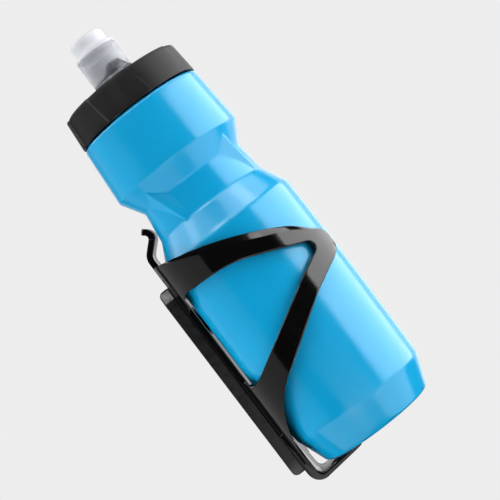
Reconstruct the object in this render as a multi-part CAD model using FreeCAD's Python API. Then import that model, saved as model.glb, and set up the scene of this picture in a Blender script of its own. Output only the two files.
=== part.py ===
import FreeCAD, Part
import math
import os
from FreeCAD import Vector

# Sports squeeze bottle in its frame cage. Millimetres.
# Each piece is drawn about the bottle's own axis, with the bottle's base at height 0,
# and is then moved so that the origin is the centre of the two frame bolts.
# Angles round the bottle start at -Y and grow towards +X.

# Bottle
BODY_WALL = 1.1
NECK_RADIUS = 27.4
NECK_BORE_RADIUS = 25.9
NECK_BASE_Z = 187.5
LIP_Z = 200.2
RIDGE_COUNT = 4
RIDGE_TOP = (32.3, -38.1, 153.5)
RIDGE_FOOT = (31.3, -19.4, 128.9)
RIDGE_LEFT = (27.9, -62.0, 146.0)
RIDGE_RIGHT_HIGH = (27.9, -14.0, 146.0)
RIDGE_RIGHT_LOW = (29.2, -14.0, 132.0)

# Screw thread between the neck and the cap
THREAD_LEAD = 6.0
THREAD_DEPTH = 1.2
THREAD_ROOT_WIDTH = 2.2
THREAD_CREST_WIDTH = 1.2
NECK_THREAD_Z = 190.8
NECK_THREAD_TURNS = 1.2
CAP_THREAD_TURNS = 1.0
THREAD_AXIAL_PLAY = 0.35

# Cap
CAP_BOTTOM_Z = 188.1
CAP_TOP_Z = 203.8
CAP_BOTTOM_RADIUS = 32.8
CAP_TOP_RADIUS = 31.4
CAP_BORE_RADIUS = 29.0
CAP_PANELS = 8
CAP_PANEL_STEP = 1.1
CAP_PANEL_ANGLE = 17.0
CAP_PANEL_SLANT = 6.0
CAP_CEILING_Z = 201.9
GASKET_THICKNESS = 1.5
DECK_HUB_Z = 206.0

# Drinking valve
HUB_BORE_RADIUS = 9.2
COLLAR_RADIUS = 11.0
COLLAR_TOP_Z = 208.8
SKIRT_BOTTOM_Z = 209.2
NOZZLE_RADIUS = 10.8
SKIN_THICKNESS = 1.2
NOZZLE_TOP_Z = 222.9
WEB_BOTTOM_Z = 220.4
WEB_TOP_Z = 221.9
TOWER_RADIUS = 6.5
TOWER_BORE_RADIUS = 5.0
TOWER_TOP_Z = 218.2
NOZZLE_BORE_RADIUS = 7.35
O_RING_Z = 216.7
O_RING_SECTION = 1.4
PLUG_RADIUS = 3.3
PLUG_TOP_Z = 222.0
MOUTHPIECE_TOP_Z = 232.0
LUG_ANGLE = 25.0
LUG_HEIGHT = 4.7
LUG_PLAY = 0.35

# Cage
ARM_INNER_RADIUS = 37.4
ARM_OUTER_RADIUS = 40.7
SPINE_BACK_X = -40.2
SPINE_FRONT_X = -37.6
SPINE_EDGE_X = -36.0
SPINE_HALF_WIDTH = 8.5
TAB_ROOT_Z = 116.0
TAB_HALF_WIDTH = 7.0
TAB_THICKNESS = 2.9
FOOT_HALF_WIDTH = 12.5
ARM_END_ANGLE = 67.5
ARM_END_RADIUS = 8.6
ARM_END_Z = 85.2

# Mounting rail
FRAME_FACE_X = -46.5
RAIL_BOTTOM_Z = 3.0
RAIL_TOP_Z = 112.0
RAIL_HALF_WIDTH = 7.5
BOLT_SPACING = 64.0
SLOT_WIDTH = 5.4
SLOT_LENGTH = 12.0
HEAD_SLOT_WIDTH = 10.2
HEAD_SLOT_LENGTH = 16.8
HEAD_SEAT_X = -43.2

O_RING_RADIUS = NOZZLE_BORE_RADIUS - 0.05 - O_RING_SECTION / 2
RAIL_MIDDLE_Z = (RAIL_BOTTOM_Z + RAIL_TOP_Z) / 2
ORIGIN = Vector(FRAME_FACE_X, 0, RAIL_MIDDLE_Z)
UP = Vector(0, 0, 1)


def polar(radius, angle, z):
    """A point at an angle round the bottle."""
    turn = math.radians(angle)
    return Vector(radius * math.sin(turn), -radius * math.cos(turn), z)


def turned(shape, angle):
    copy = shape.copy()
    copy.rotate(Vector(0, 0, 0), UP, angle)
    return copy


def ring_of(shape, count):
    return [turned(shape, 360 * k / count) for k in range(count)]


def tube(outer, inner, bottom, top):
    wall = Part.makeCylinder(outer, top - bottom, Vector(0, 0, bottom))
    return wall.cut(Part.makeCylinder(inner, top - bottom, Vector(0, 0, bottom)))


def box(low, high):
    size = Vector(*high).sub(Vector(*low))
    return Part.makeBox(size.x, size.y, size.z, Vector(*low))


def corner_arc(before, corner, after, radius):
    """The three points of an arc that rounds a corner, or the corner alone."""
    to_before = before.sub(corner).normalize()
    to_after = after.sub(corner).normalize()
    opening = to_before.getAngle(to_after)
    if radius == 0:
        return [corner]
    reach = radius / math.tan(opening / 2)
    bisector = to_before.add(to_after).normalize()
    nearest = radius / math.sin(opening / 2) - radius
    return [
        corner.add(to_before * reach),
        corner.add(bisector * nearest),
        corner.add(to_after * reach),
    ]


def outline(corners):
    """A closed wire in the XZ plane through corners of (x, z, rounding radius)."""
    points = [Vector(x, 0, z) for x, z, radius in corners]
    count = len(points)
    arcs = [
        corner_arc(points[k - 1], points[k], points[(k + 1) % count], corners[k][2])
        for k in range(count)
    ]
    edges = []
    for k, arc in enumerate(arcs):
        if len(arc) == 3:
            edges.append(Part.Arc(*arc).toShape())
        start = arc[-1]
        end = arcs[(k + 1) % count][0]
        if start.distanceToPoint(end) > 1e-6:
            edges.append(Part.makeLine(start, end))
    return Part.Wire(edges)


def revolved(corners):
    return Part.Face(outline(corners)).revolve(Vector(0, 0, 0), UP, 360)


def slab(corners, low_y, high_y):
    """An outline in the XZ plane made thick along Y."""
    face = Part.Face(outline(corners))
    face.translate(Vector(0, low_y, 0))
    return face.extrude(Vector(0, high_y - low_y, 0))


def inset_corners(corners, inset):
    """The same run of corners, moved to the left of its direction by an inset."""
    normals = []
    for (x0, z0, _), (x1, z1, _) in zip(corners, corners[1:]):
        length = math.hypot(x1 - x0, z1 - z0)
        normals.append(((z0 - z1) / length, (x1 - x0) / length))
    moved = []
    for k, (x, z, radius) in enumerate(corners):
        nx, nz = normals[max(k - 1, 0)]
        mx, mz = normals[min(k, len(normals) - 1)]
        share = inset / (1 + nx * mx + nz * mz)
        left_turn = nx * mz - nz * mx > 0
        inner_radius = max(radius - inset, 0) if left_turn else radius + inset
        if radius == 0:
            inner_radius = 0
        moved.append((x + share * (nx + mx), z + share * (nz + mz), inner_radius))
    return moved


def solid_of(points, triangles):
    faces = []
    for triangle in triangles:
        loop = [points[name] for name in triangle]
        faces.append(Part.Face(Part.makePolygon(loop + loop[:1])))
    solid = Part.Solid(Part.Shell(faces))
    solid.fix(1e-6, 1e-6, 1e-6)
    return solid


# ---------------------------------------------------------------- bottle body

BODY_SIDE = [
    (0, 2.4, 0),
    (22.0, 2.4, 2.0),
    (24.4, 0, 1.2),
    (29.7, 0, 2.4),
    (36.0, 16.4, 7.0),
    (36.85, 76.0, 2400.0),
    (36.3, 118.4, 8.0),
    (29.8, 131.2, 4.0),
    (28.0, 146.3, 1.2),
    (34.9, 157.6, 1.4),
    (32.8, NECK_BASE_Z, 1.2),
]


def grip_ridge(inset):
    """A pyramid ridge that crosses the waist from its upper to its lower slope."""
    points = {
        "top": polar(RIDGE_TOP[0] - inset, *RIDGE_TOP[1:]),
        "foot": polar(RIDGE_FOOT[0] - inset, *RIDGE_FOOT[1:]),
        "left": polar(RIDGE_LEFT[0] - inset, *RIDGE_LEFT[1:]),
        "high": polar(RIDGE_RIGHT_HIGH[0] - inset, *RIDGE_RIGHT_HIGH[1:]),
        "low": polar(RIDGE_RIGHT_LOW[0] - inset, *RIDGE_RIGHT_LOW[1:]),
        "core": Vector(0, 0, RIDGE_LEFT[2] - 5),
    }
    rim = ["top", "left", "foot", "low", "high"]
    sides = [("top", "left", "foot"), ("top", "foot", "low"), ("top", "low", "high")]
    hidden = [(b, a, "core") for a, b in zip(rim, rim[1:] + rim[:1])]
    return solid_of(points, sides + hidden)


def bottle_core():
    sides = BODY_SIDE + [(NECK_RADIUS, NECK_BASE_Z, 1.0), (NECK_RADIUS, LIP_Z, 0.4), (0, LIP_Z, 0)]
    return revolved(sides).fuse(ring_of(grip_ridge(0), RIDGE_COUNT))


def bottle_cavity():
    inside = inset_corners(BODY_SIDE, BODY_WALL)
    last = (inside[-1][0], NECK_BASE_Z - BODY_WALL, 0.8)
    neck = [(NECK_BORE_RADIUS, last[1], 1.0), (NECK_BORE_RADIUS, LIP_Z + 1, 0), (0, LIP_Z + 1, 0)]
    return revolved(inside[:-1] + [last] + neck).fuse(ring_of(grip_ridge(BODY_WALL), RIDGE_COUNT))


def helical_ridge(root_radius, crest_radius, middle_z, turns, start_angle):
    """A trapezoid screw ridge, sunk a little into the wall that it stands on."""
    sunk = root_radius - math.copysign(0.3, crest_radius - root_radius)
    half_root = THREAD_ROOT_WIDTH / 2
    half_crest = THREAD_CREST_WIDTH / 2
    section = Part.makePolygon([
        Vector(sunk, 0, -half_root),
        Vector(root_radius, 0, -half_root),
        Vector(crest_radius, 0, -half_crest),
        Vector(crest_radius, 0, half_crest),
        Vector(root_radius, 0, half_root),
        Vector(sunk, 0, half_root),
        Vector(sunk, 0, -half_root),
    ])
    helix = Part.makeHelix(THREAD_LEAD, THREAD_LEAD * turns, root_radius)
    ridge = Part.Wire(helix.Edges).makePipeShell([section], True, True)
    ridge = turned(ridge, start_angle)
    ridge.translate(Vector(0, 0, middle_z))
    return ridge


def make_bottle_body():
    thread = helical_ridge(
        NECK_RADIUS, NECK_RADIUS + THREAD_DEPTH, NECK_THREAD_Z, NECK_THREAD_TURNS, 0
    )
    return bottle_core().cut(bottle_cavity()).fuse(thread)


# ------------------------------------------------------------------------ cap

def grip_section(z, radius, angle):
    """A round of panels, each rising to a step, as a closed wire."""
    span = 360 / CAP_PANELS
    low = radius - CAP_PANEL_STEP / 2
    high = radius + CAP_PANEL_STEP / 2
    edges = []
    for k in range(CAP_PANELS):
        start = angle + k * span
        first = polar(low, start, z)
        middle = polar(radius + 0.12, start + span / 2, z)
        last = polar(high, start + span - 1.0, z)
        edges.append(Part.Arc(first, middle, last).toShape())
        edges.append(Part.makeLine(last, polar(low, start + span, z)))
    return Part.Wire(edges)


def make_cap_shell():
    drum = Part.makeLoft([
        grip_section(CAP_BOTTOM_Z, CAP_BOTTOM_RADIUS, CAP_PANEL_ANGLE + CAP_PANEL_SLANT),
        grip_section(CAP_TOP_Z, CAP_TOP_RADIUS, CAP_PANEL_ANGLE),
    ], True, True)
    hull = revolved([
        (0, CAP_BOTTOM_Z, 0),
        (CAP_BOTTOM_RADIUS + 1.0, CAP_BOTTOM_Z, 0.6),
        (CAP_TOP_RADIUS + 1.0, CAP_TOP_Z, 1.0),
        (0, CAP_TOP_Z, 0),
    ])
    deck = revolved([
        (0, CAP_CEILING_Z, 0),
        (28.0, CAP_CEILING_Z, 0),
        (28.0, CAP_TOP_Z, 0),
        (26.0, CAP_TOP_Z, 2.0),
        (13.8, DECK_HUB_Z, 1.0),
        (0, DECK_HUB_Z, 0),
    ])
    inside = revolved([
        (0, CAP_BOTTOM_Z - 1, 0),
        (CAP_BORE_RADIUS, CAP_BOTTOM_Z - 1, 0),
        (CAP_BORE_RADIUS, CAP_CEILING_Z, 0.5),
        (23.0, CAP_CEILING_Z, 2.0),
        (12.5, DECK_HUB_Z - 2.2, 1.0),
        (0, DECK_HUB_Z - 2.2, 0),
    ])
    hub_bore = Part.makeCylinder(HUB_BORE_RADIUS, 20, Vector(0, 0, CAP_CEILING_Z - 5))
    drop = THREAD_ROOT_WIDTH + THREAD_AXIAL_PLAY
    thread = helical_ridge(
        CAP_BORE_RADIUS, CAP_BORE_RADIUS - THREAD_DEPTH, NECK_THREAD_Z - drop + THREAD_LEAD / 4,
        CAP_THREAD_TURNS, 90
    )
    return drum.common(hull).fuse(deck).cut(inside).cut(hub_bore).fuse(thread)


def make_cap_gasket():
    top = CAP_CEILING_Z - 0.1
    return revolved([
        (NECK_BORE_RADIUS + 0.2, top - GASKET_THICKNESS, 0.3),
        (CAP_BORE_RADIUS - 0.5, top - GASKET_THICKNESS, 0.3),
        (CAP_BORE_RADIUS - 0.5, top, 0.3),
        (NECK_BORE_RADIUS + 0.2, top, 0.3),
    ])


# ---------------------------------------------------------------------- valve

def lug_corners(play):
    """A bell shape on the collar's top, seen from outside."""
    base = COLLAR_TOP_Z - 1.0
    top = COLLAR_TOP_Z + LUG_HEIGHT
    foot_z = COLLAR_TOP_Z + play
    return [
        (-9.5, base, 0),
        (9.5, base, 0),
        (9.5, foot_z, 0),
        (6.6 + play, foot_z, 3.6),
        (3.0 + play, top + play, 3.2),
        (-3.0 - play, top + play, 3.2),
        (-6.6 - play, foot_z, 3.6),
        (-9.5, foot_z, 0),
    ]


def lug_blocks(play):
    block = slab(lug_corners(play), -15, -5)
    return ring_of(turned(block, LUG_ANGLE), 2)


def make_valve_base():
    spigot = tube(HUB_BORE_RADIUS - 0.05, 7.4, DECK_HUB_Z - 3.6, DECK_HUB_Z + 1)
    snap = revolved([
        (8.0, DECK_HUB_Z - 3.8, 0),
        (HUB_BORE_RADIUS + 0.5, DECK_HUB_Z - 2.9, 0.2),
        (HUB_BORE_RADIUS + 0.5, DECK_HUB_Z - 2.3, 0.1),
        (8.0, DECK_HUB_Z - 2.3, 0),
    ])
    collar = revolved([
        (TOWER_BORE_RADIUS, DECK_HUB_Z, 0),
        (COLLAR_RADIUS + 0.5, DECK_HUB_Z, 0),
        (COLLAR_RADIUS, COLLAR_TOP_Z, 0.5),
        (TOWER_BORE_RADIUS, COLLAR_TOP_Z, 0),
    ])
    tower = tube(TOWER_RADIUS, TOWER_BORE_RADIUS, DECK_HUB_Z, TOWER_TOP_Z)
    gland = tube(NOZZLE_BORE_RADIUS - 0.15, TOWER_BORE_RADIUS, O_RING_Z - 1.5, TOWER_TOP_Z)
    groove_bottom = O_RING_RADIUS - O_RING_SECTION / 2
    groove_half = O_RING_SECTION / 2 + 0.1
    groove = tube(NOZZLE_BORE_RADIUS, groove_bottom, O_RING_Z - groove_half, O_RING_Z + groove_half)
    pin = Part.makeCylinder(1.5, PLUG_TOP_Z - 1 - DECK_HUB_Z - 4, Vector(0, 0, DECK_HUB_Z + 4))
    spoke = box((0, -0.6, DECK_HUB_Z + 4), (TOWER_BORE_RADIUS + 0.5, 0.6, TOWER_TOP_Z - 1))
    plug = revolved([
        (0, PLUG_TOP_Z - 2.2, 0),
        (PLUG_RADIUS, PLUG_TOP_Z - 2.2, 0.3),
        (PLUG_RADIUS, PLUG_TOP_Z, 0.8),
        (0, PLUG_TOP_Z, 0),
    ])
    ring = tube(NOZZLE_RADIUS, NOZZLE_RADIUS - SKIN_THICKNESS, DECK_HUB_Z + 1, NOZZLE_TOP_Z)
    lugs = [ring.common(block) for block in lug_blocks(0)]
    base = collar.fuse([spigot, snap, tower, gland, pin, plug] + ring_of(spoke, 3) + lugs)
    return base.cut(groove)


def make_tower_o_ring():
    return Part.makeTorus(O_RING_RADIUS, O_RING_SECTION / 2, Vector(0, 0, O_RING_Z))


def make_nozzle_shell():
    skin_bore = NOZZLE_RADIUS - SKIN_THICKNESS
    inner_tube_radius = NOZZLE_BORE_RADIUS + 1.1
    stop_radius = TOWER_RADIUS + 0.25
    shell = revolved([
        (skin_bore, SKIRT_BOTTOM_Z, 0.3),
        (NOZZLE_RADIUS, SKIRT_BOTTOM_Z, 0.3),
        (NOZZLE_RADIUS, NOZZLE_TOP_Z, 0.3),
        (skin_bore - 0.2, NOZZLE_TOP_Z, 0),
        (skin_bore - 0.2, WEB_TOP_Z, 0),
        (PLUG_RADIUS + 0.1, WEB_TOP_Z, 0.2),
        (PLUG_RADIUS + 0.1, WEB_BOTTOM_Z, 0.2),
        (NOZZLE_BORE_RADIUS, WEB_BOTTOM_Z, 0.5),
        (NOZZLE_BORE_RADIUS, SKIRT_BOTTOM_Z + 1.6, 0),
        (stop_radius, SKIRT_BOTTOM_Z + 1.1, 0),
        (stop_radius, SKIRT_BOTTOM_Z + 0.3, 0.2),
        (inner_tube_radius, SKIRT_BOTTOM_Z + 0.1, 0.3),
        (inner_tube_radius, WEB_BOTTOM_Z, 0.5),
        (skin_bore, WEB_BOTTOM_Z, 0.5),
    ])
    return shell.cut(lug_blocks(LUG_PLAY))


def make_slit_membrane():
    disc = revolved([
        (0, WEB_TOP_Z + 1.0, 0),
        (3.4, WEB_TOP_Z + 0.8, 2.0),
        (5.0, WEB_TOP_Z, 0.5),
        (7.4, WEB_TOP_Z, 0),
        (7.4, WEB_TOP_Z + 1.0, 0.2),
        (5.4, WEB_TOP_Z + 1.0, 0.5),
        (3.6, WEB_TOP_Z + 1.5, 2.0),
        (0, WEB_TOP_Z + 1.7, 0),
    ])
    slit = box((-2.6, -0.06, WEB_TOP_Z), (2.6, 0.06, WEB_TOP_Z + 3))
    return disc.cut([slit, turned(slit, 90)])


def make_mouthpiece():
    flange = NOZZLE_RADIUS
    recess = NOZZLE_RADIUS - SKIN_THICKNESS - 0.25
    return revolved([
        (7.5, WEB_TOP_Z, 0),
        (recess, WEB_TOP_Z, 0),
        (recess, NOZZLE_TOP_Z, 0),
        (flange, NOZZLE_TOP_Z, 0.4),
        (flange, NOZZLE_TOP_Z + 1.6, 1.1),
        (8.9, NOZZLE_TOP_Z + 2.6, 1.2),
        (8.5, NOZZLE_TOP_Z + 4.2, 3.0),
        (9.1, MOUTHPIECE_TOP_Z - 1.6, 1.6),
        (8.3, MOUTHPIECE_TOP_Z, 1.0),
        (6.0, MOUTHPIECE_TOP_Z, 1.0),
        (5.2, MOUTHPIECE_TOP_Z - 2.5, 2.0),
        (5.2, WEB_TOP_Z + 2.4, 0.3),
        (7.5, WEB_TOP_Z + 1.1, 0),
    ])


# ----------------------------------------------------------------------- cage

ARM_OUTLINE = [
    (-44.0, 124.4, 0),
    (-8.0, 115.8, 174.0),
    (26.7, 100.1, 30.0),
    (42.0, 84.9, 0),
    (42.0, 80.7, 0),
    (16.5, 67.8, 60.0),
    (-36.2, 33.1, 44.0),
    (-36.2, 6.0, 0),
    (-44.0, 6.0, 0),
]

ARM_WINDOW = [
    (-41.5, 96.0, 0),
    (-36.4, 98.6, 2.5),
    (-36.4, 104.2, 2.8),
    (-6.4, 102.6, 60.0),
    (33.9, 86.6, 3.5),
    (15.5, 78.0, 40.0),
    (-29.0, 52.4, 12.0),
    (-36.4, 49.6, 1.5),
    (-36.4, 54.0, 2.0),
    (-41.5, 56.0, 0),
]

FOOT_OUTLINE = [
    (SPINE_BACK_X, 24.0, 0),
    (SPINE_BACK_X, 2.0, 14.0),
    (-39.2, -5.9, 6.5),
    (-12.0, -3.4, 0),
    (-9.0, -3.0, 1.0),
    (-9.0, -0.5, 0.9),
    (-27.0, -1.5, 20.0),
    (-35.4, -2.2, 3.0),
    (-36.2, 12.0, 20.0),
    (SPINE_FRONT_X, 24.0, 0),
]


def bent_strip(middle, half_thickness):
    """Corners round a strip whose middle line runs through the given corners."""
    one_side = inset_corners(middle, half_thickness)
    other_side = inset_corners(middle, -half_thickness)
    return one_side + other_side[::-1]


def beyond_arm_ends():
    """The open front of the cage, up to the rounded end of each arm."""
    start = ARM_END_ANGLE - math.degrees(ARM_END_RADIUS / ARM_OUTER_RADIUS)
    loop = [Vector(0, 0, 0), polar(90, start, 0), polar(90, 180 - start, 0)]
    front = Part.Face(Part.makePolygon(loop + loop[:1])).extrude(Vector(0, 0, 150))
    ends = [
        Part.makeCylinder(ARM_END_RADIUS, 90, Vector(0, 0, ARM_END_Z), polar(1, angle, 0))
        for angle in (start, 180 - start)
    ]
    return front.cut(ends)


def arm_pair():
    shell = tube(ARM_OUTER_RADIUS, ARM_INNER_RADIUS, -10, 140)
    shape = slab(ARM_OUTLINE, -50, 50).cut(slab(ARM_WINDOW, -51, 51))
    in_front = box((SPINE_BACK_X, -60, -20), (60, 60, 150))
    return shell.common(shape).common(in_front).cut(beyond_arm_ends())


def head_slots(low_x, high_x, width, length):
    slots = []
    for side in (-1, 1):
        middle = RAIL_MIDDLE_Z + side * BOLT_SPACING / 2
        straight = (length - width) / 2
        block = box((low_x, -width / 2, middle - straight), (high_x, width / 2, middle + straight))
        depth = high_x - low_x
        ends = [
            Part.makeCylinder(width / 2, depth, Vector(low_x, 0, middle + end * straight), Vector(1, 0, 0))
            for end in (-1, 1)
        ]
        slots.append(block.fuse(ends))
    return slots


def make_cage_body():
    spine = box((SPINE_BACK_X, -SPINE_HALF_WIDTH, 8), (SPINE_EDGE_X, SPINE_HALF_WIDTH, TAB_ROOT_Z))
    # The spine is hollowed to the bottle's curve, like the arms.
    spine = spine.cut(Part.makeCylinder(ARM_INNER_RADIUS, TAB_ROOT_Z))
    foot = slab(FOOT_OUTLINE, -FOOT_HALF_WIDTH, FOOT_HALF_WIDTH)
    body = arm_pair().fuse([spine, foot])
    tab_seat = box(
        (SPINE_BACK_X - 1, -TAB_HALF_WIDTH, TAB_ROOT_Z), (SPINE_FRONT_X + 3, TAB_HALF_WIDTH, 130)
    )
    head_room = head_slots(SPINE_BACK_X - 1, SPINE_FRONT_X + 1, HEAD_SLOT_WIDTH, HEAD_SLOT_LENGTH)
    return body.cut([tab_seat] + head_room)


TAB_MIDDLE = [
    (-38.8, TAB_ROOT_Z, 0),
    (-38.8, 128.6, 6.0),
    (-30.9, 136.6, 3.4),
    (-35.3, 140.6, 0),
]


def make_retention_tab():
    strip = bent_strip(TAB_MIDDLE, TAB_THICKNESS / 2)
    return slab(strip, -TAB_HALF_WIDTH, TAB_HALF_WIDTH)


def make_mounting_rail():
    rail = slab([
        (FRAME_FACE_X, RAIL_BOTTOM_Z, 2.6),
        (SPINE_BACK_X, RAIL_BOTTOM_Z, 1.0),
        (SPINE_BACK_X, RAIL_TOP_Z, 1.6),
        (FRAME_FACE_X, RAIL_TOP_Z, 2.6),
    ], -RAIL_HALF_WIDTH, RAIL_HALF_WIDTH)
    through = head_slots(FRAME_FACE_X - 1, SPINE_BACK_X + 1, SLOT_WIDTH, SLOT_LENGTH)
    head_room = head_slots(HEAD_SEAT_X, SPINE_BACK_X + 1, HEAD_SLOT_WIDTH, HEAD_SLOT_LENGTH)
    return rail.cut(through + head_room)


PIECES = {
    "bottle_body": make_bottle_body,
    "cap_gasket": make_cap_gasket,
    "cap_shell": make_cap_shell,
    "valve_base": make_valve_base,
    "tower_o_ring": make_tower_o_ring,
    "nozzle_shell": make_nozzle_shell,
    "slit_membrane": make_slit_membrane,
    "mouthpiece": make_mouthpiece,
    "cage_body": make_cage_body,
    "retention_tab": make_retention_tab,
    "mounting_rail": make_mounting_rail,
}


def main():
    os.makedirs("parts", exist_ok=True)
    for name, make in PIECES.items():
        shape = make().removeSplitter()
        shape.translate(ORIGIN * -1)
        shape.exportStep("parts/" + name + ".step")
        print(name, "solids", len(shape.Solids), "valid", shape.isValid(), "mm3", round(shape.Volume, 1))


main()
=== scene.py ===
import math

import bmesh
import bpy
import numpy as np
from mathutils import Matrix, Vector


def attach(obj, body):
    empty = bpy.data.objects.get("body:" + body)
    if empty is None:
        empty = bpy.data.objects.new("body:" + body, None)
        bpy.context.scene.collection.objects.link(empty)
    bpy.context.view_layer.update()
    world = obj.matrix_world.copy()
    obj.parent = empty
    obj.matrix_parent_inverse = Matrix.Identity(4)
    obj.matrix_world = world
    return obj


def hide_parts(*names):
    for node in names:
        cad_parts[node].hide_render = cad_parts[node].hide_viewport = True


# Sports squeeze bottle in its frame cage.
# Shapes are worked out in millimetres about the bottle's axis, with the bottle's base at height 0 and
# angles that start at -Y and grow towards +X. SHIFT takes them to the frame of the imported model.

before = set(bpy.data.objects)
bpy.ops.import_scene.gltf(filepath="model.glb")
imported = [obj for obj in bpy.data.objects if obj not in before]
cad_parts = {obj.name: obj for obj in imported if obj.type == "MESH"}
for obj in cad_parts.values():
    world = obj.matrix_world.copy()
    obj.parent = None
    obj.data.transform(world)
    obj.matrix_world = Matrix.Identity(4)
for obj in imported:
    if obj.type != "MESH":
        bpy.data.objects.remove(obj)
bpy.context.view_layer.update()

MM = 0.001
WELD_DISTANCE = 1e-6
SHIFT = np.array([46.5, 0.0, -57.5])
scene = bpy.context.scene


def row_point(x, y, z):
    """A point about the bottle's axis, in mm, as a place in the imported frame, in metres."""
    return Vector((np.array([x, y, z]) + SHIFT) * MM)


# --------------------------------------------------------------------- camera

CAMERA_PLACE = (36.3, -692.0, 90.1)
CAMERA_AIM = (1.7, 0.0, 102.6)
CAMERA_ROLL = 37.3
CAMERA_LENS = 103.8

camera_data = bpy.data.cameras.new("camera")
camera = bpy.data.objects.new("camera", camera_data)
scene.collection.objects.link(camera)
scene.camera = camera
camera_data.lens = CAMERA_LENS
camera_data.sensor_width = 36.0
camera_data.clip_start = 0.05
camera_data.clip_end = 50.0
place = row_point(*CAMERA_PLACE)
back = (place - row_point(*CAMERA_AIM)).normalized()
level = Vector((0, 0, 1)).cross(back).normalized()
upright = back.cross(level)
turn = math.radians(CAMERA_ROLL)
up = upright * math.cos(turn) + level * math.sin(turn)
right = level * math.cos(turn) - upright * math.sin(turn)
camera.matrix_world = Matrix((right, up, back)).transposed().to_4x4()
camera.location = place


# ---------------------------------------------------------------- mesh making

def polar(radius, angle, z):
    """Points at angles (in degrees) round the bottle, as an array of x, y, z."""
    radius, angle, z = np.broadcast_arrays(radius, np.radians(angle), z)
    return np.stack([radius * np.sin(angle), -radius * np.cos(angle), z], -1)


LONGEST_ARC_STEP = 4
SHORTEST_RUN = 1e-6


def rounded(corners, spacing, closed=False, arc_step=12.0):
    """Points along a run of corners (u, v, rounding radius), no further apart than spacing(u, v).

    Arcs turn by up to arc_step degrees from one point to the next.
    """
    count = len(corners)
    runs = []
    for k, (u, v, radius) in enumerate(corners):
        here = np.array([u, v], float)
        if radius == 0 or (not closed and k in (0, count - 1)):
            runs.append([here])
            continue
        before = np.array(corners[k - 1][:2], float) - here
        after = np.array(corners[(k + 1) % count][:2], float) - here
        before /= np.linalg.norm(before)
        after /= np.linalg.norm(after)
        opening = math.acos(np.clip(before @ after, -1, 1))
        middle = (before + after) / np.linalg.norm(before + after)
        centre = here + middle * radius / math.sin(opening / 2)
        reach = radius / math.tan(opening / 2)
        start = here + before * reach - centre
        sweep = math.pi - opening
        if start[1] * before[0] - start[0] * before[1] < 0:
            sweep = -sweep
        by_turn = math.ceil(abs(math.degrees(sweep)) / arc_step)
        by_length = math.ceil(abs(sweep) * radius / LONGEST_ARC_STEP)
        steps = max(2, by_turn, by_length)
        arc = []
        for n in range(steps + 1):
            a = sweep * n / steps
            spin = np.array([[math.cos(a), -math.sin(a)], [math.sin(a), math.cos(a)]])
            arc.append(centre + spin @ start)
        runs.append(arc)
    points = []
    for k in range(count):
        points.extend(runs[k])
        if k == count - 1 and not closed:
            break
        start, end = runs[k][-1], runs[(k + 1) % count][0]
        length = np.linalg.norm(end - start)
        if length < SHORTEST_RUN:
            points.pop()
            continue
        pieces = max(1, math.ceil(length / spacing(*((start + end) / 2))))
        points.extend(start + (end - start) * n / pieces for n in range(1, pieces))
    return np.array(points)


def every(distance):
    """The same spacing everywhere, for rounded()."""
    return lambda u, v: distance


def grid_faces(rows, columns, wrap_rows, wrap_columns):
    """Four-sided faces over a grid of points that can close on itself in either direction."""
    faces = []
    for i in range(rows if wrap_rows else rows - 1):
        here, beyond = i * columns, (i + 1) % rows * columns
        for j in range(columns if wrap_columns else columns - 1):
            after = (j + 1) % columns
            faces.append((here + j, here + after, beyond + after, beyond + j))
    return faces


def capped(rings):
    """A closed shell through rings of points, with a flat face on the first and on the last ring."""
    points = np.array(rings)
    count, around = points.shape[:2]
    faces = grid_faces(count, around, False, True)
    faces += [tuple(range(around)), tuple(range((count - 1) * around, count * around))]
    return points, faces


def mesh_of(name, shells):
    """A mesh of closed shells, each given as (points in mm, faces)."""
    verts, faces = [], []
    for points, shell_faces in shells:
        first = len(verts)
        verts.extend(((points.reshape(-1, 3) + SHIFT) * MM).tolist())
        faces.extend(tuple(first + i for i in face) for face in shell_faces)
    mesh = bpy.data.meshes.new(name)
    mesh.from_pydata(verts, [], faces)
    work = bmesh.new()
    work.from_mesh(mesh)
    bmesh.ops.remove_doubles(work, verts=work.verts, dist=WELD_DISTANCE)
    bmesh.ops.recalc_face_normals(work, faces=work.faces)
    work.to_mesh(mesh)
    work.free()
    return mesh


def piece(name, mesh, body, nodes, material, sharp=38.0):
    """A visible object that rides a body and stands in for CAD nodes. Edges over sharp degrees stay hard."""
    thing = bpy.data.objects.new(name, mesh)
    scene.collection.objects.link(thing)
    mesh.materials.clear()
    mesh.materials.append(material)
    mesh.shade_smooth()
    mesh.set_sharp_from_angle(angle=math.radians(sharp))
    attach(thing, body)
    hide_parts(*nodes)
    return thing


def lathe(profile, columns=180, closed=True):
    """A shell of revolution round the bottle's axis from points (radius, z)."""
    angles = np.arange(columns) * 360.0 / columns
    points = polar(profile[:, :1], angles[None, :], profile[:, 1:])
    return points, grid_faces(len(profile), columns, closed, True)


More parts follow.
